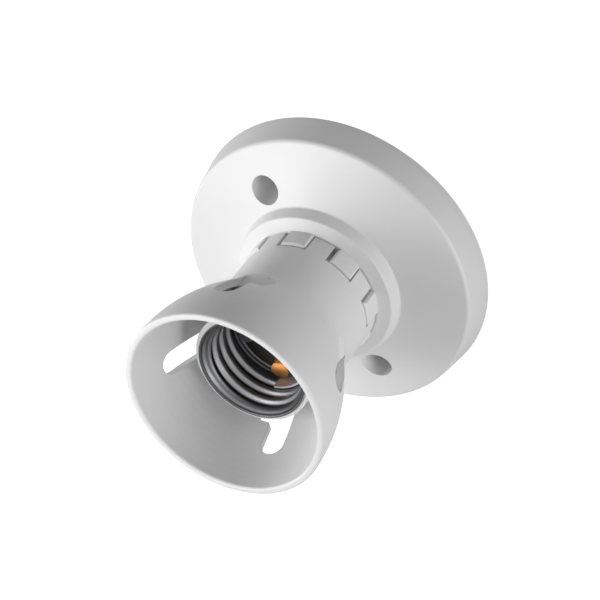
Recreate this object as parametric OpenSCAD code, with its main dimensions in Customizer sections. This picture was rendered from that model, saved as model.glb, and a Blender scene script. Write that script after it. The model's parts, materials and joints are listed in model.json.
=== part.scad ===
// Batten lamp holder: a round base plate, a barrel with a rolled thread
// shell for the lamp cap, and a bell-shaped skirt pushed over the barrel.
// Millimetres. Z runs along the lamp's axis, away from the mounting surface.
// The fixing holes lie on X, and the back face is at Z = 0.

/* [Base plate] */
// Radius of the base at its back face
base_r = 41.9; // [40:0.1:50]
// Radius at the front rim
rim_r = 40.5; // [38.5:0.1:42]
// Height of the front rim
rim_z = 9; // [8:0.1:11]
// Rounding of the front rim
rim_round = 1.4; // [0.5:0.1:2]
// Thickness of the base's walls
base_wall = 2.2; // [1.6:0.1:2.6]
// Rise of the sloping face from rim to boss, in degrees
face_rise = 12.9; // [8:0.1:16]

/* [Boss and ring of blocks] */
// Width of the boss beyond the ring of blocks
boss_w = 4.25; // [3:0.05:5.5]
// Height of the boss's outer wall
boss_h = 3.3; // [2.6:0.1:4]
// Inward lean of the boss's outer wall
boss_lean = 0.95; // [0.2:0.05:1.2]
// Height of the boss's crown above its outer edge
crown_h = 1.15; // [0.6:0.05:1.6]
// Number of blocks in the ring
block_count = 8; // [6:1:10]
// How far the blocks stand out past the skirt's neck
block_out = 0.45; // [0.2:0.05:0.8]
// Height of the blocks
block_h = 5.5; // [4:0.1:7]
// Width of a block in degrees
block_turn = 22.3; // [18:0.1:25]
// Direction of the first block
block_azimuth = 19.4; // [0:0.1:45]
// Chamfer of the blocks
block_chamfer = 0.55; // [0.2:0.05:0.8]

/* [Fixing holes] */
// Distance between the fixing holes
fixing_pitch = 57; // [54:0.5:60]
// Radius of the well for a screw head
well_r = 4; // [3.6:0.1:4.4]
// Radius of the screw hole in the well's floor
fixing_r = 2.4; // [2:0.1:3]
// Thickness of the well's floor
well_floor = 2.6; // [2:0.1:4]
// Wall round the well
tower_wall = 1.8; // [1.4:0.1:2.4]

/* [Barrel] */
// Thickness of the barrel's wall
barrel_wall = 2.05; // [1.7:0.05:2.4]
// Height of the barrel's mouth
barrel_z = 51.6; // [48:0.1:54]
// Height of the ledge that the carrier rests on
ledge_z = 32; // [30:0.1:34]
// Thickness of the ledge
ledge_t = 2.5; // [2:0.1:3.5]
// Width of the ledge
ledge_w = 2.65; // [2.3:0.05:3]
// Radius of the two screw lugs on the ledge
lug_r = 3.2; // [2.6:0.1:3.6]
// Width of the four guide keys
key_w = 2.4; // [2:0.1:3.5]
// Height of a guide key above the barrel
key_h = 0.6; // [0.4:0.05:0.8]
// Length of a guide key
key_len = 15; // [10:0.5:16]

/* [Skirt] */
// How far the mouth stands out past the neck
mouth_out = 9.25; // [8:0.05:11]
// Height of the mouth
mouth_z = 67.4; // [66:0.1:74]
// Height at which the neck begins to flare
flare_z = 31; // [29:0.1:33]
// Share of the flare that is hollow, before it turns into the bell
hollow_share = 0.321; // [0.25:0.001:0.4]
// Thickness of the skirt's wall
skirt_wall = 1.95; // [1.7:0.05:2.0]
// Rounding of the mouth's edges
mouth_round = 0.7; // [0.3:0.05:0.9]

/* [Skirt slots] */
// Width of a slot
slot_w = 6.4; // [5:0.1:7.5]
// Distance from the mouth to a slot's round end
slot_down = 12.1; // [9:0.1:14]
// Height of a slot's flat bed above the neck
bed_h = 0.9; // [0.6:0.05:1.3]
// Direction of the first slot
slot_azimuth = -20.4; // [-30:0.1:0]
// How far the side arm of every second slot reaches from its middle line
arm_reach = 6.6; // [4.5:0.1:7]
// Distance from a slot's round end to its side arm
arm_down = 8.5; // [8:0.1:11]
// Height of the side arm
arm_h = 7.6; // [6:0.1:9]

/* [Teeth] */
// Wide gap beside each tooth in degrees
wide_gap = 3.4; // [2:0.1:4]
// Narrow gap beside each tooth in degrees
narrow_gap = 1.1; // [0.9:0.1:2]

/* [Thread shell] */
// Inner radius at the thread's crests
crest_r = 12.2; // [12.1:0.05:12.3]
// Depth of the thread
thread_depth = 1.1; // [0.9:0.05:1.2]
// Pitch of the thread
pitch = 3.63; // [3:0.01:4]
// Thickness of the sheet
sheet = 0.35; // [0.25:0.05:0.4]
// Height of the shell's lip above the barrel
lip_over = 0.7; // [0.6:0.05:1]
// How far the lip is turned out past the thread's roots
lip_out = 2.4; // [1.8:0.05:2.6]
// Length of the plain foot under the thread
plain_h = 2; // [1.5:0.1:3]

/* [Contacts] */
// Thickness of the contact carrier
carrier_t = 4.4; // [3.5:0.1:5]
// Direction of the centre contact's free end
leaf_azimuth = 160; // [150:1:175]
// Width of the centre contact's neck
leaf_w = 3.2; // [2.6:0.1:4]
// Radius of its round foot under the rivet
leaf_foot_r = 2.6; // [2.2:0.05:2.8]
// Radius of its round free end
leaf_head_r = 2.85; // [2.4:0.05:3]
// Thickness of the contact strip
leaf_t = 0.5; // [0.3:0.05:0.6]
// Height of the centre contact's crown above its foot
leaf_h = 3.5; // [3:0.1:5]
// Direction of the side contact
side_azimuth = 177; // [170:1:185]
// Width of the side contact in degrees
side_turn = 44; // [30:1:50]
// Height of the side contact above the carrier
side_h = 7.2; // [5:0.1:8]
// Radius of a rivet's shank
rivet_r = 1; // [0.8:0.05:1.1]
// Radius of a rivet's head
rivet_head_r = 1.6; // [1.4:0.05:1.7]
// Thickness of a rivet's head
rivet_head_t = 0.7; // [0.5:0.05:0.8]
// Radius of an insert screw's shank
insert_r = 1.45; // [1.2:0.05:1.5]
// Radius of an insert screw's head
insert_head_r = 2.4; // [2:0.05:2.5]
// Thickness of an insert screw's head
insert_head_t = 1.4; // [1:0.05:1.6]

/* [Terminals] */
// Distance of the terminals from the axis
terminal_at = 25; // [24.5:0.1:26]
// Width of a terminal block
terminal_w = 7; // [6:0.1:7.5]
// Length of a terminal block
terminal_len = 8.5; // [7:0.1:9]
// Gap between the terminal screws' heads and the mounting surface
head_clear = 0.8; // [0.5:0.05:1]
// Radius of the wire hole
wire_r = 1.6; // [1.2:0.05:1.8]
// Radius of a terminal screw's shank
screw_r = 1.45; // [1.2:0.05:1.5]
// Radius of a terminal screw's head
screw_head_r = 2.6; // [2.2:0.05:3]
// Thickness of a terminal screw's head
screw_head_t = 1.3; // [1:0.05:1.3]
// Thickness of the ribs that hold a terminal
rib_t = 1.2; // [0.8:0.1:1.6]

/* [Straps] */
// Width of a strap
strap_w = 4.4; // [3:0.1:4.6]
// Thickness of a strap
strap_t = 0.6; // [0.4:0.05:0.8]
// Gap between a strap's leg and the ledge
leg_gap = 0.6; // [0.4:0.05:0.9]

/* [Fits] */
// Gap between pieces that slide or lie beside each other
gap = 0.3; // [0.25:0.01:0.35]
// Gap between a screw and its hole
running = 0.05; // [0.03:0.01:0.08]

/* [Hidden] */
$fn = 96;
// Overlap that keeps a cut or a join clean
slack = 0.01;
// Longer than any cut has to reach
far = 100;
arc_steps = 6;
flare_steps = 12;
slot_count = 4;
slot_step = 360 / slot_count;
fixing_at = fixing_pitch / 2;
fixing_azimuths = [0, 180];
edge_round = 0.4;
boss_round = 0.65;

// Radii, from the thread outwards: shell, barrel, neck, blocks, boss and mouth
root_r = crest_r + thread_depth;
barrel_bore = root_r + sheet + gap;
barrel_r = barrel_bore + barrel_wall;
neck_bore = barrel_r + gap;
neck_r = neck_bore + skirt_wall;
block_r = neck_r + block_out;
boss_r = block_r + boss_w;
boss_edge_r = boss_r - boss_lean;
mouth_r = neck_r + mouth_out;
tower_r = well_r + tower_wall;

// Heights of the base's face and boss
boss_foot_z = rim_z + (rim_r - boss_r) * tan(face_rise);
boss_edge_z = boss_foot_z + boss_h;
boss_z = boss_edge_z + crown_h;
block_step = 360 / block_count;

// Skirt: the teeth stand one gap above the boss, the neck one gap above the
// blocks. The flare is two arcs that meet at its steepest place.
neck_z = boss_z + block_h + gap;
tooth_z = boss_z + gap;
tooth_turn = block_step - block_turn - wide_gap - narrow_gap;
tooth_lap = 1;
flare_h = mouth_z - flare_z;
flare_turn = 2 * atan(mouth_out / flare_h);
flare_r = flare_h / sin(flare_turn);
hollow_r = hollow_share * flare_r;
bell_r = flare_r - hollow_r;

// Slots in the skirt, with a groove under each for a guide key of the barrel
slot_z = mouth_z - slot_down;
slot_bed = neck_r + bed_h;
arm_z = slot_z - arm_down;
arm_foot = arm_z - arm_h;
groove_w = key_w + 2 * gap;
groove_r = barrel_r + key_h + gap;
key_z = neck_z + key_w / 2;

// Shell: a flange on the carrier, a plain foot, the thread and the lip
carrier_z = ledge_z + carrier_t;
thread_z = carrier_z + plain_h;
lip_z = barrel_z + lip_over;
flange_w = 1.7;
flange_bend = 0.6;
lug_rim = 0.4;
shell_sides = 40;
rows_per_turn = 7;
fade_rows = 3;

// Straps, rivets and insert screws, from the ledge inwards
ledge_r = barrel_bore - ledge_w;
leg_at = ledge_r - leg_gap - strap_t;
rivet_lap = 0.1;
rivet_at = leg_at - rivet_lap - rivet_head_r;
insert_at = root_r - 1.5 - insert_head_r;
insert_azimuths = [leaf_azimuth + 90, leaf_azimuth - 90];
edge_lap = 0.2;

// Contacts
leaf_root = leaf_azimuth + 180;
leaf_z = carrier_z + gap + leaf_t / 2;
leaf_bend = 1.2;
leaf_droop = 0.45;
side_r = crest_r - gap;
leaf_reach = side_r - leaf_t - gap;
tongue_w = 4.4;
tongue_tail = 2;

// Terminals, between the screw heads and the underside of the sloping face
face_drop = base_wall / cos(face_rise);
terminal_out = terminal_at + terminal_len / 2;
roof_z = rim_z + (rim_r - terminal_out - rib_t) * tan(face_rise) - face_drop;
terminal_z = head_clear + screw_head_t + gap / 2;
terminal_h = roof_z - strap_t - terminal_z;
wire_z = terminal_h / 2 + 0.4;
pocket_w = terminal_w + 2 * gap;
pocket_len = terminal_len + 2 * gap;
grip = 0.8;
driver_w = 0.7;
driver_depth = 0.6;
live_azimuth = 270;
neutral_azimuth = 90;
loop_azimuth = 315;
earth_azimuth = 45;

function unit(v) = v / norm(v);
function towards(azimuth, r) = [r * cos(azimuth), r * sin(azimuth)];

// Points of an arc of radius r that rounds the corner b between a and c
function bend(a, b, c, r) =
    let (
        u = unit(a - b),
        v = unit(c - b),
        half = acos(u * v) / 2,
        centre = b + unit(u + v) * r / sin(half),
        p = b + u * r / tan(half) - centre,
        q = b + v * r / tan(half) - centre,
        start = atan2(p[1], p[0]),
        raw = atan2(q[1], q[0]) - start,
        turn = raw > 180 ? raw - 360 : raw < -180 ? raw + 360 : raw
    )
    [for (i = [0:arc_steps]) centre + towards(start + turn * i / arc_steps, r)];

// An outline from corners [x, y, rounding]
function outline(corners) =
    let (n = len(corners), xy = [for (p = corners) [p[0], p[1]]])
    [for (i = [0:n - 1])
        each corners[i][2] == 0 ? [xy[i]]
            : bend(xy[(i + n - 1) % n], xy[i], xy[(i + 1) % n], corners[i][2])];

// A bent strip of thickness t along the middle line given by points
function ribbon(points, t) =
    let (
        n = len(points),
        along = [for (i = [0:n - 2]) unit(points[i + 1] - points[i])],
        side = [for (i = [0:n - 1])
            let (
                before = along[max(i - 1, 0)],
                after = along[min(i, n - 2)],
                m = unit(before + after)
            )
            [-m[1], m[0]] * (t / 2) / (m * after)]
    )
    concat([for (i = [0:n - 1]) points[i] + side[i]], [for (i = [n - 1:-1:0]) points[i] - side[i]]);

// Places its children at a distance from the axis, facing outwards
module around(azimuths, r = 0) {
    for (a = azimuths) {
        rotate(a) translate([r, 0, 0]) children();
    }
}

// The dish's outer form, filled, up to the boss's crown
module dish_form() {
    rotate_extrude() polygon(outline([
        [0, 0, 0],
        [base_r, 0, 0],
        [rim_r, rim_z, rim_round],
        [boss_r, boss_foot_z, boss_round],
        [boss_edge_r, boss_edge_z, boss_round],
        [block_r, boss_z, 0],
        [0, boss_z, 0]
    ]));
}

// The space inside the dish's walls: the hollow at the back for the full wall,
// and the form that towers and ribs are trimmed to for a part of it
module dish_inside(wall) {
    drop = wall / cos(face_rise) - wall * tan(face_rise);
    rotate_extrude() polygon([
        [0, -slack],
        [base_r - wall, -slack],
        [rim_r - wall, rim_z - drop],
        [boss_r - wall, boss_foot_z - drop],
        [boss_edge_r - wall, boss_z - wall],
        [0, boss_z - wall]
    ]);
}

// Barrel wall with its ledge and screw lugs
module barrel() {
    foot_z = boss_foot_z - face_drop;
    rotate_extrude() polygon(outline([
        [barrel_bore, foot_z, 0],
        [barrel_r, foot_z, 0],
        [barrel_r, barrel_z, edge_round],
        [barrel_bore, barrel_z, edge_round]
    ]));
    translate([0, 0, ledge_z - ledge_t]) difference() {
        union() {
            difference() {
                cylinder(h = ledge_t, r = barrel_bore + slack);
                translate([0, 0, -slack]) cylinder(h = ledge_t + 2 * slack, r = ledge_r);
            }
            intersection() {
                cylinder(h = ledge_t, r = barrel_bore + slack);
                around(insert_azimuths, insert_at) cylinder(h = ledge_t, r = lug_r);
            }
        }
        around(insert_azimuths, insert_at) translate([0, 0, -slack])
            cylinder(h = ledge_t + 2 * slack, r = insert_r + running);
    }
}

// Blocks between which the skirt's teeth stand
module block_ring() {
    half = block_turn / 2;
    nip = asin(block_chamfer / block_r);
    intersection() {
        translate([0, 0, boss_z - slack]) linear_extrude(block_h + slack)
            for (i = [0:block_count - 1]) {
                rotate(block_azimuth + i * block_step) polygon([
                    towards(-half, barrel_r - block_chamfer),
                    towards(-half, block_r - block_chamfer),
                    towards(-half + nip, block_r + slack),
                    towards(0, block_r / cos(half - nip) + slack),
                    towards(half - nip, block_r + slack),
                    towards(half, block_r - block_chamfer),
                    towards(half, barrel_r - block_chamfer)
                ]);
            }
        rotate_extrude() polygon([
            [barrel_r - slack, boss_z - slack],
            [block_r, boss_z - slack],
            [block_r, boss_z + block_h - block_chamfer],
            [block_r - block_chamfer, boss_z + block_h],
            [barrel_r - slack, boss_z + block_h]
        ]);
    }
}

// Ribs and roof that hold one terminal block
module terminal_pocket(azimuth) {
    intersection() {
        dish_inside(base_wall / 2);
        rotate(azimuth) translate([terminal_at, 0, 0]) difference() {
            translate([-pocket_len / 2 - rib_t, -pocket_w / 2 - rib_t, terminal_z])
                cube([pocket_len + 2 * rib_t, pocket_w + 2 * rib_t, boss_foot_z - terminal_z]);
            translate([-pocket_len / 2, -pocket_w / 2, terminal_z - slack])
                cube([pocket_len, pocket_w, roof_z - terminal_z + slack]);
            translate([-pocket_len, -strap_w / 2 - gap, terminal_z - slack])
                cube([2 * pocket_len, strap_w + 2 * gap, roof_z - terminal_z + slack]);
        }
    }
}

module base() {
    color("white") difference() {
        union() {
            difference() {
                dish_form();
                dish_inside(base_wall);
                cylinder(h = boss_z + slack, r = (barrel_bore + barrel_r) / 2);
            }
            barrel();
            block_ring();
            intersection() {
                dish_inside(base_wall / 2);
                around(fixing_azimuths, fixing_at) cylinder(h = boss_z, r = tower_r);
            }
            for (a = [live_azimuth, neutral_azimuth, loop_azimuth, earth_azimuth]) {
                terminal_pocket(a);
            }
            for (i = [0:slot_count - 1]) {
                rotate(slot_azimuth + i * slot_step)
                    translate([barrel_r - barrel_wall / 2, -key_w / 2, key_z])
                    cube([barrel_wall / 2 + key_h, key_w, key_len]);
            }
        }
        around(fixing_azimuths, fixing_at) {
            translate([0, 0, well_floor]) cylinder(h = boss_z, r = well_r);
            translate([0, 0, -slack]) cylinder(h = well_floor + 2 * slack, r = fixing_r);
        }
    }
}

// The skirt's wall from neck to mouth
module skirt_wall_form() {
    rise = [for (i = [0:flare_steps]) flare_turn * i / flare_steps];
    hollow_x = neck_r + hollow_r;
    bell_x = mouth_r - bell_r;
    hollow_in = hollow_r + skirt_wall;
    bell_in = bell_r - skirt_wall;
    rotate_extrude() polygon(outline(concat(
        [[neck_bore, neck_z, 0], [neck_r, neck_z, edge_round]],
        [for (a = rise) [hollow_x - hollow_r * cos(a), flare_z + hollow_r * sin(a), 0]],
        [for (a = rise) if (a > 0 && a < flare_turn)
            [bell_x + bell_r * cos(flare_turn - a), mouth_z - bell_r * sin(flare_turn - a), 0]],
        [[mouth_r, mouth_z, mouth_round], [mouth_r - skirt_wall, mouth_z, mouth_round]],
        [for (a = rise) if (a > 0 && a < flare_turn)
            [bell_x + bell_in * cos(a), mouth_z - bell_in * sin(a), 0]],
        [for (a = rise)
            let (b = flare_turn - a)
            [hollow_x - hollow_in * cos(b), flare_z + hollow_in * sin(b), 0]]
    )));
}

module skirt() {
    tooth_middle = block_azimuth + block_turn / 2 + wide_gap + tooth_turn / 2;
    shaft_h = slot_z - slot_w / 2 - flare_z;
    color("white") difference() {
        union() {
            skirt_wall_form();
            for (i = [0:block_count - 1]) {
                rotate(tooth_middle + i * block_step - tooth_turn / 2)
                    rotate_extrude(angle = tooth_turn) translate([neck_bore, tooth_z])
                        square([skirt_wall, neck_z - tooth_z + tooth_lap]);
            }
        }
        for (i = [0:slot_count - 1]) {
            rotate(slot_azimuth + i * slot_step) {
                translate([slot_bed, 0, flare_z + shaft_h]) rotate([0, 90, 0])
                    cylinder(h = far, d = slot_w);
                translate([slot_bed, -slot_w / 2, flare_z]) cube([far, slot_w, shaft_h]);
                if (i % 2 == 0) {
                    translate([slot_bed, -arm_reach, arm_foot]) cube([far, arm_reach, arm_h]);
                }
                translate([barrel_r, -groove_w / 2, neck_z - slack])
                    cube([groove_r - barrel_r, groove_w, key_z + key_len - neck_z]);
            }
        }
    }
}

// Rows of the shell from its foot to its lip: [inner radius, height, share of
// the thread's depth, direction in which the sheet's thickness lies]
function shell_rows() =
    let (
        middle = (crest_r + root_r) / 2,
        flange_z = carrier_z + sheet,
        lip_r = root_r + lip_out,
        top = lip_z - pitch / 2,
        steps = floor((top - thread_z) / pitch * rows_per_turn)
    )
    concat(
        [[root_r - flange_w, flange_z, 0, -90], [root_r - flange_bend, flange_z, 0, -90]],
        [[root_r, flange_z + flange_bend, 0, -20], [root_r, thread_z - flange_bend, 0, 0]],
        [for (i = [0:steps])
            let (fade = min(1, i / fade_rows, (steps - i) / fade_rows))
            [middle, thread_z + (top - thread_z) * i / steps, fade, 0]],
        [[root_r, lip_z - 3 * sheet, 0, 0], [root_r + sheet, lip_z - sheet, 0, -45]],
        [[root_r + 2.5 * sheet, lip_z, 0, -90], [lip_r, lip_z, 0, -90]]
    );

// Rolled sheet with a round thread. Two skins of points lie one sheet apart,
// and the radius swings with the height and the direction, so that the
// crests climb one pitch a turn.
module screw_shell() {
    rows = shell_rows();
    n = len(rows);
    depth = thread_depth / 2;
    skins = [for (t = [0, sheet]) for (row = rows) for (j = [0:shell_sides - 1])
        let (
            a = 360 * j / shell_sides,
            r = row[0] - depth * row[2] * cos(360 * row[1] / pitch - a) + t * cos(row[3])
        )
        [r * cos(a), r * sin(a), row[1] + t * sin(row[3])]];
    function at(skin, i, j) = (skin * n + i) * shell_sides + j % shell_sides;
    faces = concat(
        [for (i = [0:n - 2]) for (j = [0:shell_sides - 1]) each [
            [at(0, i, j), at(0, i, j + 1), at(0, i + 1, j)],
            [at(0, i, j + 1), at(0, i + 1, j + 1), at(0, i + 1, j)],
            [at(1, i, j), at(1, i + 1, j), at(1, i, j + 1)],
            [at(1, i, j + 1), at(1, i + 1, j), at(1, i + 1, j + 1)]
        ]],
        [for (j = [0:shell_sides - 1]) each [
            [at(0, 0, j), at(1, 0, j), at(0, 0, j + 1)],
            [at(1, 0, j), at(1, 0, j + 1), at(0, 0, j + 1)],
            [at(0, n - 1, j), at(0, n - 1, j + 1), at(1, n - 1, j)],
            [at(1, n - 1, j), at(0, n - 1, j + 1), at(1, n - 1, j + 1)]
        ]]
    );
    ear_r = insert_head_r + lug_rim;
    ear_len = root_r - insert_at - flange_bend;
    color("silver") difference() {
        union() {
            polyhedron(skins, faces);
            around(insert_azimuths, insert_at) translate([0, 0, carrier_z]) {
                cylinder(h = sheet, r = ear_r);
                translate([0, -ear_r, 0]) cube([ear_len, 2 * ear_r, sheet]);
            }
        }
        around(insert_azimuths, insert_at) translate([0, 0, carrier_z - slack])
            cylinder(h = sheet + 2 * slack, r = insert_r + running);
    }
}

module contact_carrier() {
    color("dimgray") translate([0, 0, ledge_z]) difference() {
        cylinder(h = carrier_t, r = barrel_bore - gap);
        around(insert_azimuths, insert_at) translate([0, 0, -slack])
            cylinder(h = carrier_t + 2 * slack, r = insert_r + running);
        around([leaf_root, side_azimuth], rivet_at) translate([0, 0, -slack])
            cylinder(h = carrier_t + 2 * slack, r = rivet_r + running);
    }
}

// Screws that clamp shell and carrier on the barrel's ledge
module insert_screws() {
    head_z = carrier_z + sheet;
    color("silver") around(insert_azimuths, insert_at) difference() {
        union() {
            translate([0, 0, ledge_z - ledge_t]) cylinder(h = head_z - ledge_z + ledge_t, r = insert_r);
            translate([0, 0, head_z]) cylinder(h = insert_head_t, r = insert_head_r);
        }
        translate([-insert_head_r, -driver_w / 2, head_z + insert_head_t - driver_depth])
            cube([2 * insert_head_r, driver_w, driver_depth + slack]);
    }
}

// Sprung leaf, riveted behind the axis, lifted over it and free at its round end
module centre_contact() {
    foot_end = rivet_at - rivet_head_r - leaf_t;
    top = leaf_z + leaf_h;
    side_line = outline([
        [-rivet_at - leaf_foot_r, leaf_z, 0],
        [-foot_end, leaf_z, leaf_bend],
        [-foot_end / 2, top, leaf_bend],
        [leaf_reach / 2, top, 0],
        [leaf_reach, top - leaf_droop, 0]
    ]);
    color("chocolate") rotate(leaf_azimuth) difference() {
        intersection() {
            translate([0, far / 2, 0]) rotate([90, 0, 0])
                linear_extrude(far) polygon(ribbon(side_line, leaf_t));
            translate([0, 0, carrier_z]) linear_extrude(2 * leaf_h) {
                translate([-rivet_at, 0]) circle(leaf_foot_r);
                translate([leaf_reach - leaf_head_r, 0]) circle(leaf_head_r);
                translate([-rivet_at, -leaf_w / 2]) square([rivet_at + leaf_reach - leaf_head_r, leaf_w]);
            }
        }
        translate([-rivet_at, 0, leaf_z - leaf_t]) cylinder(h = 2 * leaf_t, r = rivet_r + edge_lap);
    }
}

// Rivet through the carrier: head at top_z, tail under the strap's tag
module rivet(azimuth, top_z) {
    tail_z = ledge_z - strap_t;
    color("silver") rotate(azimuth) translate([rivet_at, 0, 0]) {
        translate([0, 0, tail_z]) cylinder(h = top_z - tail_z, r = rivet_r);
        translate([0, 0, top_z]) cylinder(h = rivet_head_t, r = rivet_head_r);
        translate([0, 0, tail_z - rivet_head_t]) cylinder(h = rivet_head_t, r = rivet_head_r);
    }
}

module centre_rivet() {
    rivet(leaf_root, leaf_z + leaf_t / 2 + gap);
}

module side_rivet() {
    rivet(side_azimuth, carrier_z + leaf_t);
}

// Plated strip that stands in front of the thread, on a tongue under a rivet
module side_contact() {
    skin_z = carrier_z + sheet + gap;
    plate_r = side_r - leaf_t / 2;
    tongue = ribbon([
        [rivet_at - tongue_tail, leaf_t / 2],
        [plate_r - 2 * leaf_t, leaf_t / 2],
        [plate_r - leaf_t / 5, skin_z - carrier_z + 2 * leaf_t]
    ], leaf_t);
    color("silver") difference() {
        union() {
            rotate(side_azimuth - side_turn / 2) rotate_extrude(angle = side_turn)
                translate([side_r - leaf_t, skin_z]) square([leaf_t, side_h - sheet - gap]);
            rotate(side_azimuth) translate([0, tongue_w / 2, carrier_z]) rotate([90, 0, 0])
                linear_extrude(tongue_w) polygon(tongue);
        }
        rotate(side_azimuth) translate([rivet_at, 0, carrier_z - slack])
            cylinder(h = leaf_t + 2 * slack, r = rivet_r + running);
    }
}

// Strap: a tag under the carrier and a leg down the barrel, bent from one
// strip, and a slightly narrower bar that turns towards the terminal
module strap(azimuth, terminal_azimuth) {
    heel = towards(azimuth, leg_at + strap_t + edge_lap);
    foot = towards(azimuth, leg_at - strap_w / 2);
    knee = towards(terminal_azimuth, terminal_at - pocket_len / 2 - rib_t - strap_w / 2);
    end = towards(terminal_azimuth, terminal_out);
    bar_z = roof_z - strap_t;
    tag_z = ledge_z - strap_t / 2;
    leg_x = leg_at + strap_t / 2;
    tag_and_leg = [[rivet_at - tongue_tail, tag_z], [leg_x, tag_z], [leg_x, bar_z + strap_t / 2]];
    color("goldenrod") difference() {
        union() {
            rotate(azimuth) translate([0, strap_w / 2, 0]) rotate([90, 0, 0])
                linear_extrude(strap_w) polygon(ribbon(tag_and_leg, strap_t));
            translate([0, 0, bar_z]) linear_extrude(strap_t)
                polygon(ribbon([heel, foot, knee, end], strap_w - 2 * edge_lap));
        }
        rotate(azimuth) translate([rivet_at, 0, ledge_z - 2 * strap_t])
            cylinder(h = 3 * strap_t, r = rivet_r + running);
    }
}

module live_strap() {
    strap(leaf_root, live_azimuth);
}

module neutral_strap() {
    strap(side_azimuth, neutral_azimuth);
}

// Brass block with a wire hole along its length and a screw hole from the back
module terminal(azimuth, top_z) {
    color("goldenrod") rotate(azimuth) translate([terminal_at, 0, terminal_z]) difference() {
        translate([-terminal_len / 2, -terminal_w / 2, 0])
            cube([terminal_len, terminal_w, top_z - terminal_z]);
        translate([-terminal_len, 0, wire_z]) rotate([0, 90, 0]) cylinder(h = 2 * terminal_len, r = wire_r);
        translate([0, 0, -slack]) cylinder(h = wire_z, r = screw_r + running);
    }
}

// Terminal screw with a slotted head towards the back
module terminal_screw(azimuth) {
    shank_h = terminal_z + wire_z - wire_r + grip - head_clear;
    color("silver") rotate(azimuth) translate([terminal_at, 0, head_clear]) difference() {
        union() {
            cylinder(h = screw_head_t, r = screw_head_r);
            cylinder(h = shank_h, r = screw_r);
        }
        translate([-screw_head_r, -driver_w / 2, -slack]) cube([2 * screw_head_r, driver_w, driver_depth]);
    }
}

module live_terminal() {
    terminal(live_azimuth, roof_z - strap_t);
}

module neutral_terminal() {
    terminal(neutral_azimuth, roof_z - strap_t);
}

module loop_terminal() {
    terminal(loop_azimuth, roof_z);
}

module earth_terminal() {
    terminal(earth_azimuth, roof_z);
}

module live_screw() {
    terminal_screw(live_azimuth);
}

module neutral_screw() {
    terminal_screw(neutral_azimuth);
}

module loop_screw() {
    terminal_screw(loop_azimuth);
}

module earth_screw() {
    terminal_screw(earth_azimuth);
}

base();
skirt();
screw_shell();
contact_carrier();
insert_screws();
centre_contact();
centre_rivet();
side_contact();
side_rivet();
live_strap();
neutral_strap();
live_terminal();
neutral_terminal();
loop_terminal();
earth_terminal();
live_screw();
neutral_screw();
loop_screw();
earth_screw();
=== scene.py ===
import json
import math

import bmesh
import bpy
import numpy as np
from mathutils import Matrix, Vector


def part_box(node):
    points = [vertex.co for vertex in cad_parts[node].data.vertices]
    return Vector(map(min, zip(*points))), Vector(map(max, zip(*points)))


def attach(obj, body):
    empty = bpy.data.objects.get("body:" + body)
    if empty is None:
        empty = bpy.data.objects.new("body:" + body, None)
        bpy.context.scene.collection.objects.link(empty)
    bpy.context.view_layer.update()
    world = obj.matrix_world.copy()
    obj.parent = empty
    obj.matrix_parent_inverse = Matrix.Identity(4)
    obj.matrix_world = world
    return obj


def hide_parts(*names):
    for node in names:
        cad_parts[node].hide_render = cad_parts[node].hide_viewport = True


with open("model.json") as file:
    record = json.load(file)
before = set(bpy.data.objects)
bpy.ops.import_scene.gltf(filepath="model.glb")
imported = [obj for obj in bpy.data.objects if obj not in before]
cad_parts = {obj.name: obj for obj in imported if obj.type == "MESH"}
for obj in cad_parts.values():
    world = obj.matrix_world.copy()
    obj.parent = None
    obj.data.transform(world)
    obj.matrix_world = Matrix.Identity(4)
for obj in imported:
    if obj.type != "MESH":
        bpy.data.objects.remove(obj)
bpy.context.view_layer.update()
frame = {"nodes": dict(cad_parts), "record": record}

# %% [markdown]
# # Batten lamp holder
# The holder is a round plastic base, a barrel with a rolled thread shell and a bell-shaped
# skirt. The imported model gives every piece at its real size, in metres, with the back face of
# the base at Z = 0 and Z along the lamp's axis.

MM = 0.001

# %% [markdown]
# ## Camera
# The photograph was taken from in front of the skirt, a little under halfway up from the floor
# to the lamp's axis, and the camera was rolled so that the lamp's axis runs down to the left. A
# camera could be aimed with a Track To constraint, but the roll would then need a second one.
# Three axes and a place, fitted to the circles of the object, say it all in one matrix.

# %% Camera
photo_side = 600
focal_pixels = 2519.0
sensor_mm = 36.0
camera_place = Vector((0.2095, -0.4158, 0.4729))
camera_right = Vector((-0.5139, -0.7354, -0.4419))
camera_back = Vector((0.3219, -0.6427, 0.6952))


def camera_matrix(place, right, back):
    """The camera's axes as columns: right, up (back cross right) and back, made exactly square."""
    back = back.normalized()
    up = back.cross(right).normalized()
    right = up.cross(back)
    return Matrix.Translation(place) @ Matrix((right, up, back)).transposed().to_4x4()


camera_data = bpy.data.cameras.new("camera")
camera_data.sensor_width = sensor_mm
camera_data.lens = focal_pixels * sensor_mm / photo_side
camera = bpy.data.objects.new("camera", camera_data)
camera.matrix_world = camera_matrix(camera_place, camera_right, camera_back)
bpy.context.scene.collection.objects.link(camera)
bpy.context.scene.camera = camera
print("lens", round(camera_data.lens, 1), "mm")

# %% [markdown]
# ## Colour
# Colours are written as sRGB hex values, as a designer reads them off a chart. Shaders work in
# linear light, so one function turns each hex value to linear.

# %% Hex colours to linear
def hex_linear(code):
    """sRGB hex to linear light: a straight line up to 0.04045, above it a power of 2.4. Alpha is 1."""
    share = [int(code[i:i + 2], 16) / 255 for i in (0, 2, 4)]
    return tuple(c / 12.92 if c <= 0.04045 else ((c + 0.055) / 1.055) ** 2.4 for c in share) + (1.0,)


print("mid grey 808080 in linear light:", round(hex_linear("808080")[0], 3))

# %% [markdown]
# ## Nodes
# A material is a tree of nodes, and clicking it together by hand can't be repeated. One small
# function adds a node with its settings and its links, and a second one starts a material with
# the Principled shader, which stands for plastic and metal alike.

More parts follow.
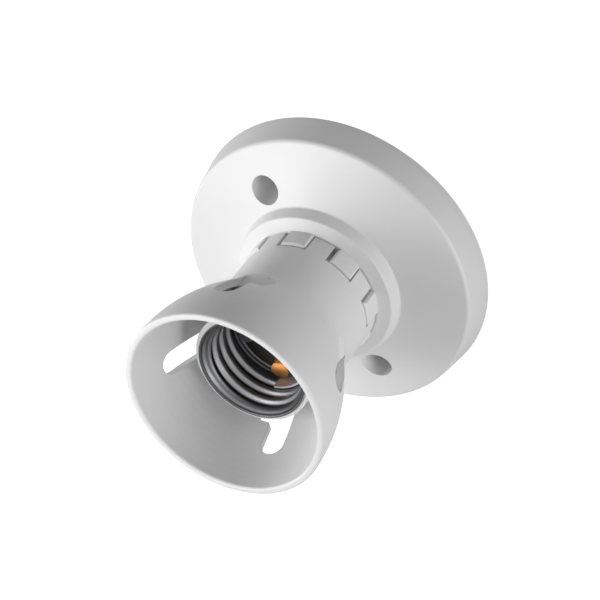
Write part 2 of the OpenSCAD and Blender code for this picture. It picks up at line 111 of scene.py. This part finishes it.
# %% Nodes and materials
def add_node(tree, kind, settings=None, **links):
    """Adds a node. settings gives attributes or socket values, and links gives the sockets that
    other sockets feed. A link's name is the socket's name with _ for a space, or i and its number."""
    node = tree.nodes.new(kind)
    for name, value in (settings or {}).items():
        if isinstance(name, int) or name in node.inputs:
            node.inputs[name].default_value = value
        else:
            setattr(node, name, value)
    for name, source in links.items():
        key = int(name[1:]) if name[0] == "i" and name[1:].isdigit() else name.replace("_", " ")
        tree.links.new(source, node.inputs[key])
    return node


def new_material(name):
    """An empty material: its node tree and its Principled shader, already joined to the output."""
    material = bpy.data.materials.new(name)
    material.use_nodes = True
    tree = material.node_tree
    tree.nodes.clear()
    shader = add_node(tree, "ShaderNodeBsdfPrincipled")
    add_node(tree, "ShaderNodeOutputMaterial", None, Surface=shader.outputs[0])
    return material, tree, shader


print("the packed model brings", len(bpy.data.materials), "plain materials")

# %% [markdown]
# ## Noise and relief
# No real surface is quite even. Noise gives each one its slow or fine change, at a scale worked
# out from a size in millimetres, and it is fixed to the object, so that it stays on the piece
# when a joint moves. The same noise can move a roughness a little or raise a bump.

# %% Noise and relief
def cloud(tree, size_mm, detail=2.0, stretch=(1.0, 1.0, 1.0)):
    """Noise whose blobs are about size_mm across. Object coordinates are in metres, so the scale
    is one over the size in metres."""
    place = add_node(tree, "ShaderNodeTexCoord").outputs["Object"]
    spread = add_node(tree, "ShaderNodeMapping", {"Scale": stretch}, Vector=place)
    settings = {"Scale": 1 / (size_mm * MM), "Detail": detail}
    return add_node(tree, "ShaderNodeTexNoise", settings, Vector=spread.outputs[0]).outputs[0]


def between(tree, factor, low, high):
    """Turns a factor from 0 to 1 into a value from low to high."""
    return add_node(tree, "ShaderNodeMapRange", {"To Min": low, "To Max": high}, Value=factor).outputs[0]


def bump(tree, height, depth_mm, below=None):
    """A bump of depth_mm from a height of 0 to 1, on top of another bump's normal if one is given."""
    links = {"Height": height}
    if below is not None:
        links["Normal"] = below
    settings = {"Distance": depth_mm * MM, "Strength": 1.0}
    return add_node(tree, "ShaderNodeBump", settings, **links).outputs[0]


print("noise scale of clouds 9 mm across:", round(1 / (9 * MM), 1))

# %% [markdown]
# ## Plastics
# Base and skirt are injection-moulded in white PBT, which stays stiff beside a hot lamp. It is
# dense and a little satin, so a Principled shader with a roughness near 0.4 does it. Moulding
# leaves two traces: a very fine grain from the tool, and slow waves where the wall has shrunk.
# Both are bumps and not geometry, because they are only hundredths of a millimetre deep. No
# moulded edge is sharp either. Rounding every edge in the mesh would cost many faces, so a Bevel
# node bends the normal near each edge instead, and the edge catches the light as a real one does.

# %% Plastics
pale_mm, pale_share = 22, 0.05          # slow change of the white, and its way towards pure white
gloss_mm, gloss_change = 9, 0.04        # patches where the tool was more or less polished
wave_mm, wave_depth_mm = 14, 0.035      # where the wall has shrunk
edge_mm = 0.25                          # rounding of the moulded edges
plastic_ior = 1.54


# The tool's real grain is under 0.1 mm, too fine for a picture, so it is drawn at 0.35 mm
def moulded(name, code, roughness, grain_mm=0.35, grain_depth_mm=0.004):
    """A moulded plastic: an even colour, patches of gloss, rounded edges, a slow wave, a fine grain."""
    material, tree, shader = new_material(name)
    pale = between(tree, cloud(tree, pale_mm, 1.0), 0.0, pale_share)
    colours = {"data_type": "RGBA", 6: hex_linear(code), 7: hex_linear("FFFFFF")}
    tint = add_node(tree, "ShaderNodeMix", colours, i0=pale)
    gloss = between(tree, cloud(tree, gloss_mm), roughness - gloss_change, roughness + gloss_change)
    edges = add_node(tree, "ShaderNodeBevel", {"samples": 6, "Radius": edge_mm * MM})
    wave = bump(tree, cloud(tree, wave_mm, 0.0), wave_depth_mm, edges.outputs[0])
    grain = bump(tree, cloud(tree, grain_mm), grain_depth_mm, wave)
    tree.links.new(tint.outputs[2], shader.inputs["Base Color"])
    tree.links.new(gloss, shader.inputs["Roughness"])
    tree.links.new(grain, shader.inputs["Normal"])
    shader.inputs["IOR"].default_value = plastic_ior
    return material


# White PBT of the base and the barrel: an even white with broad, soft highlights
base_plastic = moulded("white_pbt_base", "E3E3E3", 0.42)
# The same PBT from a more polished tool, for the skirt: its highlights are a little tighter
skirt_plastic = moulded("white_pbt_skirt", "E3E3E3", 0.38)
# Dark phenolic of the contact carrier: nearly black, dull and with a coarser grain
carrier_plastic = moulded("dark_phenolic", "2B2927", 0.55, 0.6, 0.02)
print("plastics:", base_plastic.name, skirt_plastic.name, carrier_plastic.name)

# %% [markdown]
# ## Metals
# A metal's colour is its reflection, so each one is a metallic Principled shader with its own
# tint and roughness, and the default IOR. Rolled strip and machined blocks have fine parallel
# lines, which a stretched noise gives. The plated shell's colour is darkened by painted shade:
# nearly black in the thread's roots, and darker on the foot, the collar and the lip. A shader
# can't know where the roots are, so the mesh carries that painted shade as an attribute and the
# shader reads it.

# %% Metals
streak_mm, streak_depth_mm = 0.5, 0.004 # real lines are ten times finer and wouldn't show
streak_change = 0.25                    # share by which the lines change the roughness


def metal(name, code, roughness, streak=(1.0, 1.0, 1.0)):
    """A bare or plated metal with fine lines in its roughness and a faint bump from the same lines."""
    material, tree, shader = new_material(name)
    shader.inputs["Metallic"].default_value = 1.0
    shader.inputs["Base Color"].default_value = hex_linear(code)
    lines = cloud(tree, streak_mm, 3.0, streak)
    gloss = between(tree, lines, roughness * (1 - streak_change), roughness * (1 + streak_change))
    tree.links.new(gloss, shader.inputs["Roughness"])
    tree.links.new(bump(tree, lines, streak_depth_mm), shader.inputs["Normal"])
    return material


def plated_thread(name, unshaded_code, painted_shade_code, roughness):
    """Satin plating whose colour darkens from its own tint to a nearly black painted shade with the
    mesh's attribute "root".
    """
    material = metal(name, unshaded_code, roughness)
    tree = material.node_tree
    painted_shade_amount = add_node(tree, "ShaderNodeAttribute", {"attribute_name": "root"}).outputs["Fac"]
    colours = {"data_type": "RGBA", 6: hex_linear(unshaded_code), 7: hex_linear(painted_shade_code)}
    tint = add_node(tree, "ShaderNodeMix", colours, i0=painted_shade_amount)
    tree.links.new(tint.outputs[2], tree.nodes["Principled BSDF"].inputs["Base Color"])
    return material


# Nickel-plated brass sheet of the thread shell: satin grey, and its nearly black second colour is
# painted shade for the roots, foot, collar and lip
shell_metal = plated_thread("nickel_plated_brass", "969698", "060606", 0.42)
# Nickel-plated strip of the side contact: pale grey, with faint lines across it
side_metal = metal("nickel_plated_strip", "C0C0C4", 0.6, (1.0, 1.0, 6.0))
# Phosphor bronze of the centre contact, rolled for springs: a dull copper brown
leaf_metal = metal("phosphor_bronze", "A87442", 0.5, (4.0, 1.0, 1.0))
# Brass of the rivets, polished by the riveting tool: pale yellow with small bright highlights
rivet_metal = metal("bright_brass_rivet", "C9B070", 0.25)
# Rolled brass of the straps: yellow, with the mill's fine lines
strap_metal = metal("rolled_brass", "C2A150", 0.32, (6.0, 1.0, 1.0))
# Machined brass of the terminal blocks: yellow, with the cutter's fine lines
terminal_metal = metal("machined_brass", "CBAA58", 0.28, (1.0, 1.0, 5.0))
# Zinc-plated steel of all screws: a cool grey with fairly tight highlights
screw_metal = metal("zinc_plated_steel", "B9BCC0", 0.3)
print("metals:", shell_metal.name, side_metal.name, leaf_metal.name, rivet_metal.name,
      strap_metal.name, terminal_metal.name, screw_metal.name)

# %% [markdown]
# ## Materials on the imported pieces
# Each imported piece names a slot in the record, such as terminal_brass. One dictionary says which
# material stands for each slot, so that a new piece gets its finish without a line of its own.

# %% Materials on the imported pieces
slot_materials = {
    "base_plastic": base_plastic, "skirt_plastic": skirt_plastic, "plated_shell": shell_metal,
    "carrier_board": carrier_plastic, "contact_copper": leaf_metal, "plated_contact": side_metal,
    "rivet_metal": rivet_metal, "strap_brass": strap_metal, "terminal_brass": terminal_metal,
    "screw_steel": screw_metal,
}
slot_of = {part["node"]: part["material_slot"] for part in frame["record"]["subparts"]}
for name, node in frame["nodes"].items():
    node.data.materials.clear()
    node.data.materials.append(slot_materials[slot_of[name]])
print(len(slot_of), "nodes have their materials")

# %% [markdown]
# ## Thread shell
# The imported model's shell has the right sizes but only 40 sides, because one side of a CAD mesh
# costs much more than one of a picture mesh. Here the same sheet is laid as a fine grid, with
# two small changes that the photograph shows: the thread starts 1.2 mm of climb further on, and
# the lip ends 0.95 mm further in, so that the barrel's edge shows round it. A rolled thread has
# wide round crests and narrow roots, and a plain cosine would give both the same width, so the
# wave is flattened with a hyperbolic tangent. Modelling one turn and repeating it would need a
# seam, while one formula for the whole wall has none.

# %% Thread shell: its sizes in mm
shell_low, shell_high = (np.array(corner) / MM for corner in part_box("screw_shell"))
pitch, thread_depth, sheet = 3.63, 1.1, 0.35
crest_r = 12.2                          # inner face of the sheet on a crest
root_r = crest_r + thread_depth         # and in a root
lip_r, lip_short = shell_high[0], 0.95
flange_width, bend_r, foot_height = 1.7, 0.6, 2.0
collar_step, curl_r = 0.75, 0.5         # the wall widens below the lip, then curls outwards
flange_z = shell_low[2] + sheet
thread_low = shell_low[2] + foot_height
thread_high = shell_high[2] - pitch / 2
thread_start = 1.2
around_count, rows_per_turn = 192, 18
print("inner face: crests at", crest_r, "mm, roots at", round(root_r, 2), "mm")
print("thread from", round(thread_low, 2), "to", round(thread_high, 2), "mm above the back")

# %% [markdown]
# ### The sheet's line
# Cut through the axis, the shell is one line: the foot's flange, a bend, the wall, a collar and
# the lip. Each point of the line carries three more numbers for later: how much of the thread it
# has, which way the sheet's thickness leans, and how much painted shade darkens the plating there.
# The foot, the collar and the lip get painted shade of their own, which dims their reflection.

# %% Thread shell: the sheet's line
# painted shade on the plain foot, on the collar growing with its height, and on the lip
foot_painted_dark, collar_painted_dark, lip_painted_dark = 0.6, 0.35, 0.75
collar_lean, curl_lean = -20, -30       # degrees by which the thickness leans there
fade_turns = 0.4                        # the thread grows to its depth over this share of a turn
bend_count, collar_count = 7, 6


def smooth_step(x, low, high):
    """From 0 at low to 1 at high, level at both ends: three squares less two cubes."""
    share = np.clip((x - low) / (high - low), 0, 1)
    return share * share * (3 - 2 * share)


def arc(centre_r, centre_z, radius, start, end):
    """Points (r, z) of an arc in the half plane through the axis, in degrees from outwards to up."""
    turn = np.radians(np.linspace(start, end, bend_count))
    return np.stack([centre_r + radius * np.cos(turn), centre_z + radius * np.sin(turn)], 1)


def line_rows(r, z, share, lean, painted_dark):
    """Rows of (r, z, share of the thread's depth, lean in degrees, painted shade), one for each point.
    """
    return np.column_stack(np.broadcast_arrays(*np.atleast_1d(r, z, share, lean, painted_dark)))


def shell_line():
    """The sheet's inner face from the flange to the lip. The wall lies on the thread's middle radius
    as far as it has the thread, and the collar widens with the square of its height."""
    top_z, collar_r = shell_high[2], root_r + collar_step
    bend = arc(root_r - bend_r, flange_z + bend_r, bend_r, -90, 0)
    heights = np.arange(thread_low, thread_high, pitch / rows_per_turn)
    to_end = np.minimum(heights - thread_low, thread_high - heights)
    share = np.clip(to_end / (fade_turns * pitch), 0, 1)
    rise = np.linspace(0, 1, collar_count)[1:]
    collar_z = thread_high + (top_z - curl_r - thread_high) * rise
    curl = arc(collar_r + curl_r, top_z - curl_r, curl_r, 180, 90)[1:]
    return np.concatenate([
        line_rows(root_r - flange_width, flange_z, 0, -90, foot_painted_dark),
        line_rows(bend[:, 0], bend[:, 1], 0, np.linspace(-90, 0, len(bend)), foot_painted_dark),
        line_rows(root_r - thread_depth / 2 * share, heights, share, 0, 0),
        line_rows(root_r + collar_step * rise ** 2, collar_z, 0, collar_lean * rise, collar_painted_dark * rise),
        line_rows(curl[:, 0], curl[:, 1], 0, np.linspace(curl_lean, -90, len(curl)), lip_painted_dark),
        line_rows(lip_r - lip_short, top_z, 0, -90, lip_painted_dark),
    ])


print("the sheet's line has", len(shell_line()), "points")

# %% [markdown]
# ### From the line to a mesh
# The line is carried around the axis, and the thread moves each point in or out. A second copy
# of the line, one sheet thickness away, closes the wall. All of it is done on whole arrays, so
# the grid of 160 rows and 192 sides takes a few milliseconds.

# %% Thread shell: its wave and its grid
crest_flat, crest_wide = 1.4, 0.25      # how much tanh flattens the wave, and its lean to the crests


def thread_phase(z, around):
    """Angle along the thread's wave: a full turn for each pitch of height, less the angle around."""
    return 2 * np.pi * (z + thread_start) / pitch - around


def thread_wave(phase):
    """From 1 on a crest to about -0.9 in a root: tanh of a cosine, which makes the crests wide."""
    return np.tanh(crest_flat * np.cos(phase) + crest_wide) / np.tanh(crest_flat + crest_wide)


def grid_piece(name, points, material, painted_shade_amount=None, ring=True):
    """A mesh in mm from a grid of points whose rows are closed rings. ring also joins the last row
    to the first one. A painted shade for each point becomes the attribute root."""
    rows, columns = points.shape[:2]
    index = np.arange(rows * columns).reshape(rows, columns)
    if ring:
        index = np.concatenate([index, index[:1]])
    right = np.roll(index, -1, 1)
    faces = np.stack([index[:-1], right[:-1], right[1:], index[1:]], -1).reshape(-1, 4)
    mesh = bpy.data.meshes.new(name)
    mesh.from_pydata((points.reshape(-1, 3) * MM).tolist(), [], faces.tolist())
    mesh.shade_smooth()
    if painted_shade_amount is not None:
        attribute = mesh.attributes.new("root", "FLOAT", "POINT")
        attribute.data.foreach_set("value", painted_shade_amount.reshape(-1).astype(np.float32))
    mesh.materials.append(material)
    piece = bpy.data.objects.new(name, mesh)
    bpy.context.scene.collection.objects.link(piece)
    return piece


print("wave on a crest", round(thread_wave(0.0), 2), "and in a root", round(thread_wave(np.pi), 2))

# %% Thread shell: the mesh
shade_turn = math.radians(134)          # the shade runs from each root up its flank towards the lip
shade_from, shade_to = 0.1, 0.7

line_r, line_z, line_share, line_lean, line_painted_dark = np.hsplit(shell_line(), 5)
around = np.linspace(0, 2 * np.pi, around_count, endpoint=False)
phase = thread_phase(line_z, around)
inner_r = line_r - line_share * thread_depth / 2 * thread_wave(phase)
lean = np.radians(line_lean)
inner = np.stack(np.broadcast_arrays(inner_r, line_z), -1)
outer = inner + sheet * np.stack([np.cos(lean), np.sin(lean)], -1)
wall_r, wall_z = np.moveaxis(np.concatenate([outer, inner[::-1]]), -1, 0)
shell_points = np.stack([wall_r * np.cos(around), wall_r * np.sin(around), wall_z], -1)
# painted shade: the plating is darkened from each root up its flank towards the lip, and on the foot,
# collar and lip
shaded = smooth_step(np.cos(phase + shade_turn), shade_from, shade_to) * line_share
painted_dark = np.maximum(shaded, line_painted_dark)
shell = grid_piece("thread_shell", shell_points, shell_metal, np.concatenate([painted_dark, painted_dark[::-1]]))
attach(shell, "holder")
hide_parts("screw_shell")
print("thread shell:", len(shell.data.polygons), "faces, lip radius", round(lip_r - lip_short, 2))

# %% [markdown]
# ### Ears of the shell
# Two round ears of the same sheet reach inwards under the insert screws' heads and hold the
# shell on its carrier. Each is a flat ring with a broken outer edge: a small outline turned
# around the screw's own line. They stand a quarter turn to either side of the centre contact.

# %% Ears of the shell
leaf_degrees = 160
ear_middle_r, ear_hole_r, ear_r, ear_edge = 9.4, 1.5, 2.9, 0.05
ear_count = 48


def ear(name, degrees):
    """A flat ring around the screw at that angle: its outline (r, z) turned around the screw's line."""
    low, high = shell_low[2], shell_low[2] + sheet
    outline_r = np.array([ear_hole_r, ear_r - ear_edge, ear_r, ear_r, ear_r - ear_edge, ear_hole_r])
    outline_z = np.array([low, low, low + ear_edge, high - ear_edge, high, high])
    turn = np.linspace(0, 2 * np.pi, ear_count, endpoint=False)
    x = ear_middle_r * math.cos(math.radians(degrees)) + outline_r[:, None] * np.cos(turn)
    y = ear_middle_r * math.sin(math.radians(degrees)) + outline_r[:, None] * np.sin(turn)
    points = np.stack(np.broadcast_arrays(x, y, outline_z[:, None]), -1)
    # the ears get half of the foot's painted shade
    piece = grid_piece(name, points, shell_metal, np.full(x.shape, foot_painted_dark / 2))
    piece.data.set_sharp_from_angle(angle=math.radians(30))
    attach(piece, "holder")
    return piece


for number, degrees in enumerate((leaf_degrees - 90, leaf_degrees + 90), 1):
    print(ear(f"shell_ear_{number}", degrees).name, "at", degrees, "degrees")

# %% [markdown]
# ## Centre contact
# The lamp's tip presses on a springy bronze strip with a spoon-shaped end. The strip lies flat
# under its rivet, runs low over the carrier and rises just before the spoon. A strip is a line
# seen from the side and a half-width seen from above, so both are written as functions of the
# distance along it, which is 0 at the lamp's axis.

# %% Centre contact: its sizes in mm and its shape
leaf_low, leaf_high = (np.array(corner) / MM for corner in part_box("centre_contact"))
rivet_at, foot_r, neck_half = -8.4, 2.6, 1.3
spoon_at, spoon_r, spoon_crown = 8.6, 2.5, 0.45
leaf_t, leaf_edge = 0.5, 0.16           # thickness of the strip and rounding of its edges
neck_slope = 0.095                      # clears the carrier when the lamp presses the spoon down
steep_from, steep_to = 4.4, 6.8


def leaf_height(along):
    """Height of the strip's middle: level at the foot, a slow rise along the neck, and a smooth
    step up to the spoon, whose rim falls from its middle with the square of the distance."""
    floor_z, top_z = leaf_low[2] + leaf_t / 2, leaf_high[2] - leaf_t / 2
    neck_from = rivet_at + foot_r
    slow_rise = neck_slope * np.clip(along - neck_from, 0, steep_from - neck_from)
    rim_fall = spoon_crown * np.clip((along - spoon_at) / spoon_r, -1, 1) ** 2
    step = smooth_step(along, steep_from, steep_to)
    return floor_z + slow_rise + (top_z - floor_z - slow_rise - rim_fall) * step


def leaf_half_width(along):
    """Half-width of the strip: a circle at the foot, a narrow neck, a circle at the spoon."""
    foot = np.sqrt(np.clip(foot_r ** 2 - (along - rivet_at) ** 2, 0, None))
    spoon = np.sqrt(np.clip(spoon_r ** 2 - (along - spoon_at) ** 2, 0, None))
    neck = neck_half * ((along > rivet_at) & (along < spoon_at))
    return np.maximum(np.maximum(foot, spoon), neck)


print("spoon", round(float(leaf_height(spoon_at)), 2), "mm up, neck", 2 * neck_half, "mm wide")

# %% [markdown]
# ### The strip as a mesh
# A rounded rectangle is carried along the strip. At the two round ends it shrinks to a line, so
# the points that fall together there are welded and the two small holes are filled. That can
# leave faces turned inwards, so the normals are worked out again at the end.

# %% Centre contact: the mesh
end_count, neck_count = 16, 90
end_turn = np.linspace(0, np.pi / 2, end_count)
foot_rows = rivet_at - foot_r * np.cos(end_turn)
neck_rows = np.linspace(rivet_at, spoon_at, neck_count)[1:-1]
spoon_rows = spoon_at + spoon_r * np.sin(end_turn)
along = np.concatenate([foot_rows, neck_rows, spoon_rows])[:, None]
section = np.radians(np.arange(0, 360, 15.0) + 7.5)     # 24 points, six to each rounded corner
half_width = leaf_half_width(along)
edge_r = np.minimum(leaf_edge, half_width)
aside = (half_width - edge_r) * np.sign(np.cos(section)) + edge_r * np.cos(section)
lift = (leaf_t / 2 - leaf_edge) * np.sign(np.sin(section)) + leaf_edge * np.sin(section)
leaf_cos, leaf_sin = math.cos(math.radians(leaf_degrees)), math.sin(math.radians(leaf_degrees))
leaf_points = np.stack([along * leaf_cos - aside * leaf_sin, along * leaf_sin + aside * leaf_cos,
                        leaf_height(along) + lift], -1)
leaf = grid_piece("contact_leaf", leaf_points, leaf_metal, ring=False)
weld_mm = 0.002
weld = bmesh.new()
weld.from_mesh(leaf.data)
bmesh.ops.remove_doubles(weld, verts=weld.verts, dist=weld_mm * MM)
bmesh.ops.holes_fill(weld, edges=[e for e in weld.edges if e.is_boundary])
bmesh.ops.recalc_face_normals(weld, faces=weld.faces)
weld.to_mesh(leaf.data)
weld.free()
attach(leaf, "centre_contact")
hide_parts("centre_contact")
print("centre contact:", len(leaf.data.polygons), "faces")

# %% [markdown]
# ## Light
# The photograph is a studio shot on white: light comes from the left and the right of the
# picture and from the front, and little from the top, where the base's wall is darkest. Four
# small near lamps stand on the left, and on the right a small near one and a broad one further
# off. A small lamp models the plastic strongly, and a broad one fills it evenly. The directions
# are in the camera's own axes, and each lamp faces the object. The powers were found by
# rendering one lamp at a time and fitting the sum to the brightness of the white plastic.

# %% Studio lights
scene = bpy.context.scene
scene.view_settings.view_transform = "Standard"
target = Vector((0.0, 0.0, 0.03))
camera_axes = camera.matrix_world.to_3x3()
lamps = {                               # right, up and back; distance and side in m; power in W
    "left_back": ((-0.99, -0.02, -0.11), 0.45, 0.2, 0.67),
    "left": ((-0.88, -0.11, 0.47), 0.45, 0.2, 0.57),
    "left_low": ((-0.79, -0.57, 0.21), 0.45, 0.2, 0.48),
    "left_front": ((-0.79, -0.39, 0.47), 0.45, 0.2, 0.48),
    "right_front": ((0.59, -0.31, 0.75), 0.45, 0.2, 0.5),
    "right": ((0.71, -0.50, 0.49), 0.9, 0.6, 3.3),
}
for name, (direction, distance, side, power) in lamps.items():
    lamp_data = bpy.data.lights.new(name, "AREA")
    lamp_data.shape = "SQUARE"
    lamp_data.size = side
    lamp_data.energy = power
    lamp = bpy.data.objects.new(name, lamp_data)
    away = (camera_axes @ Vector(direction)).normalized()
    lamp.location = target + away * distance
    lamp.rotation_euler = away.to_track_quat("Z", "Y").to_euler()
    scene.collection.objects.link(lamp)
print(len(lamps), "lamps with", round(sum(row[3] for row in lamps.values()), 2), "W in all")

# %% [markdown]
# ## Background
# The photograph's background is pure white. Lighting the object from a white sky would wash it
# out, so the world shows white only to the camera, to reflections and through clear things, and
# gives the object a modest even light.

# %% World
even_light, seen_white = 0.05, 1.0
world = bpy.data.worlds.new("studio")
scene.world = world
world.use_nodes = True
sky = world.node_tree
sky.nodes.clear()
path = add_node(sky, "ShaderNodeLightPath")
seen = add_node(sky, "ShaderNodeMath", {"operation": "MAXIMUM"},
                i0=path.outputs["Is Camera Ray"], i1=path.outputs["Is Transmission Ray"])
seen = add_node(sky, "ShaderNodeMath", {"operation": "MAXIMUM"},
                i0=seen.outputs[0], i1=path.outputs["Is Glossy Ray"])
ambient = add_node(sky, "ShaderNodeBackground", {"Color": hex_linear("FFFFFF"), "Strength": even_light})
white = add_node(sky, "ShaderNodeBackground", {"Color": hex_linear("FFFFFF"), "Strength": seen_white})
mixed = add_node(sky, "ShaderNodeMixShader", None,
                 i0=seen.outputs[0], i1=ambient.outputs[0], i2=white.outputs[0])
add_node(sky, "ShaderNodeOutputWorld", None, Surface=mixed.outputs[0])
print("world:", len(sky.nodes), "nodes, even light", even_light, "and white", seen_white, "where seen")

# %% [markdown]
# ## Floor
# The holder lies on its back on a pale sheet of paper. To the camera alone the sheet also glows
# a little, so that it goes white where light falls on it and still keeps the object's shadow.
# More light on the sheet would do that too, but it would burn out the white plastic.

# %% Floor
floor_half = 1.5                        # metres
paper_roughness, paper_gloss, paper_glow = 0.9, 0.1, 0.75
floor_corners = [(-floor_half, -floor_half, 0), (floor_half, -floor_half, 0),
                 (floor_half, floor_half, 0), (-floor_half, floor_half, 0)]
floor_mesh = bpy.data.meshes.new("floor")
floor_mesh.from_pydata(floor_corners, [], [(0, 1, 2, 3)])
floor = bpy.data.objects.new("floor", floor_mesh)
scene.collection.objects.link(floor)
# Matt pale paper: it spreads light evenly, and its glow is for the camera alone
floor_paper, floor_tree, floor_shader = new_material("pale_paper_floor")
floor_shader.inputs["Base Color"].default_value = hex_linear("C4C4C4")
floor_shader.inputs["Roughness"].default_value = paper_roughness
floor_shader.inputs["Specular IOR Level"].default_value = paper_gloss
floor_shader.inputs["Emission Color"].default_value = hex_linear("FFFFFF")
to_camera = add_node(floor_tree, "ShaderNodeLightPath").outputs["Is Camera Ray"]
glow = between(floor_tree, to_camera, 0.0, paper_glow)
floor_tree.links.new(glow, floor_shader.inputs["Emission Strength"])
floor_mesh.materials.append(floor_paper)
print("floor:", 2 * floor_half, "m square")
